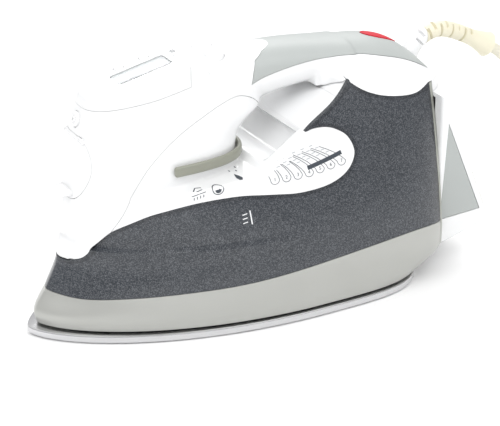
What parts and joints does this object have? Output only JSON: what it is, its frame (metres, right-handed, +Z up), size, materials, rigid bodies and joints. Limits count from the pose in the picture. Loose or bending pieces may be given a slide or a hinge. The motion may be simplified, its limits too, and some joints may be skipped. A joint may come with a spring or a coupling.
{
  "type": "steam iron",
  "caption": "Steam iron with a steel sole, smoked water tank, white handle with soft grip, digital display, sliding steam lever, fill door and swivelling cord.",
  "frame": {"origin": "on the table the iron lies on, under the middle of its length and width, level with the underside of the sole", "axes": "+X from the nose to the heel, +Y to the right of the nose-to-heel line as seen from above with +Z up from the table"},
  "size_m": [0.4945, 0.1338, 0.1532],
  "materials": {
    "polished_steel": "polished stainless skin on a cast aluminium sole",
    "cast_aluminium": "as cast",
    "heater_sheath": "oxidised steel sheath",
    "red_silicone": "matt silicone",
    "plain_steel": "plain steel",
    "brass": "plain brass",
    "black_plastic": "black heat-proof plastic",
    "silver_plastic": "warm silver paint, satin",
    "smoked_tank": "smoked clear plastic with silver flake, polished",
    "clear_plastic": "clear plastic",
    "tinted_hose": "translucent hose",
    "white_plastic": "glossy white",
    "grey_soft_plastic": "soft satin grey",
    "olive_grey_plastic": "satin olive grey",
    "warm_grey_plastic": "satin warm silver",
    "red_lens": "glossy red, translucent",
    "cream_nylon": "cream nylon",
    "cream_vinyl": "satin cream vinyl",
    "circuit_board": "green board"
  },
  "bodies": {
    "iron": {"soleplate": "polished_steel", "steam_chamber": "cast_aluminium", "heating_element": "heater_sheath", "chamber_gasket": "red_silicone", "chamber_cover": "plain_steel", "thermal_fuse": "brass", "temperature_sensor": "brass", "heat_shield": "black_plastic", "skirt": "silver_plastic", "water_tank": "smoked_tank", "tank_lid": "clear_plastic", "fill_neck": "tinted_hose", "handle_housing": "white_plastic", "saddle_cover": "white_plastic", "top_panel": "white_plastic", "soft_grip": "grey_soft_plastic", "display_window": "clear_plastic", "display_module": "circuit_board", "spray_pump": "white_plastic", "burst_pump": "white_plastic", "spray_spring": "plain_steel", "burst_spring": "plain_steel", "door_pin": "plain_steel", "spray_nozzle": "grey_soft_plastic", "rear_trim": "warm_grey_plastic", "heel_block": "white_plastic", "heel_panel_left": "grey_soft_plastic", "heel_panel_right": "grey_soft_plastic", "rear_cover": "white_plastic", "cover_screw_left": "plain_steel", "cover_screw_right": "plain_steel", "control_board": "circuit_board", "relay": "black_plastic", "terminal_block": "black_plastic"},
    "door": {"fill_door": "white_plastic"},
    "lever": {"steam_lever": "olive_grey_plastic"},
    "valve": {"valve_rod": "plain_steel"},
    "spray_key": {"spray_button": "white_plastic"},
    "burst_key": {"burst_button": "white_plastic"},
    "fabric_down": {"fabric_key_down": "white_plastic"},
    "fabric_up": {"fabric_key_up": "white_plastic"},
    "power_key": {"power_button": "red_lens"},
    "cord_swivel": {"swivel_ball": "cream_nylon", "cord_guard": "cream_vinyl", "power_cord": "cream_vinyl", "cord_coil": "cream_vinyl", "cord_tail": "cream_vinyl", "cord_tie": "black_plastic", "plug_body": "cream_vinyl", "plug_blade_wide": "plain_steel", "plug_blade_narrow": "plain_steel"}
  },
  "joints": [
    {"name": "fill_door_hinge", "type": "hinge", "parent": "iron", "child": "door", "pos_m": [-0.11037, 0, 0.1159], "axis": [0, 1, 0], "range_deg": [0, 62]},
    {"name": "steam_lever_slide", "type": "slide", "parent": "iron", "child": "lever", "axis": [1, 0, 0], "range_m": [0, 0.014]},
    {"name": "valve_lift", "type": "slide", "parent": "iron", "child": "valve", "axis": [0, 0, 1], "range_m": [-0.0028, 0]},
    {"name": "spray_press", "type": "slide", "parent": "iron", "child": "spray_key", "axis": [0, 0, -1], "range_m": [0, 0.0025], "stiffness_N_per_m": 400, "springref_m": -0.003, "deforming": ["spray_spring"]},
    {"name": "burst_press", "type": "slide", "parent": "iron", "child": "burst_key", "axis": [0, 0, -1], "range_m": [0, 0.0025], "stiffness_N_per_m": 400, "springref_m": -0.003, "deforming": ["burst_spring"]},
    {"name": "fabric_down_press", "type": "slide", "parent": "iron", "child": "fabric_down", "axis": [0.2217, 0, -0.9751], "range_m": [0, 0.0008], "stiffness_N_per_m": 400, "springref_m": -0.002},
    {"name": "fabric_up_press", "type": "slide", "parent": "iron", "child": "fabric_up", "axis": [0.2217, 0, -0.9751], "range_m": [0, 0.0008], "stiffness_N_per_m": 400, "springref_m": -0.002},
    {"name": "power_press", "type": "slide", "parent": "iron", "child": "power_key", "axis": [0, 0, -1], "range_m": [0, 0.001], "stiffness_N_per_m": 400, "springref_m": -0.002},
    {"name": "cord_swivel_turn", "type": "hinge", "parent": "iron", "child": "cord_swivel", "pos_m": [0.1055, 0, 0.1196], "axis": [0, 0, 1], "range_deg": [-20, 20]}
  ],
  "couplings": [
    {"joint": "valve_lift", "follows": "steam_lever_slide", "ratio": -0.2}
  ]
}
